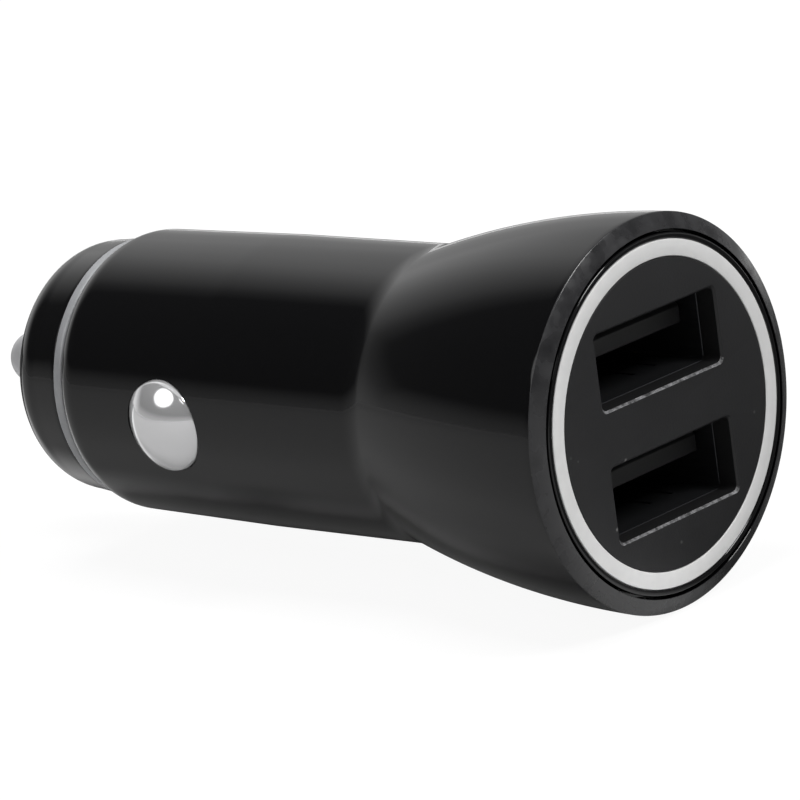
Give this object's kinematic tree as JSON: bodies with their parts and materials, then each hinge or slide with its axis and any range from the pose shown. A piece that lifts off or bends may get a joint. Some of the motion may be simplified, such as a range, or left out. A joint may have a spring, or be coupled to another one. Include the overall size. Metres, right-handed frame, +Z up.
{
  "type": "car usb charger plug",
  "caption": "Compact 12 V socket plug with a trumpet-shaped head, USB-A ports in a matte faceplate with a pale light ring, a sprung centre pin and sprung side ground contacts.",
  "frame": {"origin": "on the plug's axis at the seat, where the straight barrel ends and the trumpet of the head begins", "axes": "+X along the plug's axis, out of the front face with the ports; the nose points to -X; +Y along the long side of the ports; +Z up, with the tongue in the upper half of each port"},
  "size_m": [0.0626, 0.027, 0.027],
  "materials": {
    "gloss_black_plastic": "high gloss",
    "pale_diffuser": "satin, slightly translucent",
    "matte_black_plastic": "fine spark-eroded texture",
    "nickel_plated_sheet": "nickel plated",
    "black_port_plastic": "moulded",
    "gold_plated_brass": "gold plated",
    "green_solder_mask": "solder mask on glass epoxy",
    "ferrite": "sintered ferrite",
    "capacitor_sleeve": "shrunk sleeve",
    "chip_resin": "moulded resin",
    "ceramic_parts": "fired ceramic",
    "led_resin": "clear resin",
    "tinned_brass": "stamped",
    "spring_steel": "drawn wire",
    "nickel_plated_brass": "turned, nickel plated, dull",
    "grey_ring": "satin grey",
    "bright_chrome": "polished"
  },
  "bodies": {
    "charger": {"shell": "gloss_black_plastic", "bezel_ring": "gloss_black_plastic", "light_ring": "pale_diffuser", "faceplate": "matte_black_plastic", "upper_port_housing": "nickel_plated_sheet", "lower_port_housing": "nickel_plated_sheet", "upper_port_tongue": "black_port_plastic", "lower_port_tongue": "black_port_plastic", "upper_port_contacts": "gold_plated_brass", "lower_port_contacts": "gold_plated_brass", "circuit_board": "green_solder_mask", "power_inductor": "ferrite", "input_capacitor": "capacitor_sleeve", "output_capacitor": "capacitor_sleeve", "controller_chip": "chip_resin", "rectifier_diode": "chip_resin", "chip_parts": "ceramic_parts", "indicator_leds": "led_resin", "positive_terminal": "tinned_brass", "centre_spring": "spring_steel", "nose_cap": "gloss_black_plastic", "trim_ring": "grey_ring", "leaf_spring_left": "spring_steel", "leaf_spring_right": "spring_steel"},
    "centre_pin": {"centre_contact": "nickel_plated_brass"},
    "left_ground": {"side_contact_left": "bright_chrome"},
    "right_ground": {"side_contact_right": "bright_chrome"}
  },
  "joints": [
    {"name": "centre_pin_slide", "type": "slide", "parent": "charger", "child": "centre_pin", "axis": [1, 0, 0], "range_m": [0, 0.003], "stiffness_N_per_m": 1000, "springref_m": -0.003, "deforming": ["centre_spring"]},
    {"name": "left_ground_slide", "type": "slide", "parent": "charger", "child": "left_ground", "axis": [0, 0.9976, 0.0698], "range_m": [0, 0.0013], "stiffness_N_per_m": 800, "springref_m": -0.002, "deforming": ["leaf_spring_left"]},
    {"name": "right_ground_slide", "type": "slide", "parent": "charger", "child": "right_ground", "axis": [0, -0.9976, -0.0698], "range_m": [0, 0.0013], "stiffness_N_per_m": 800, "springref_m": -0.002, "deforming": ["leaf_spring_right"]}
  ]
}
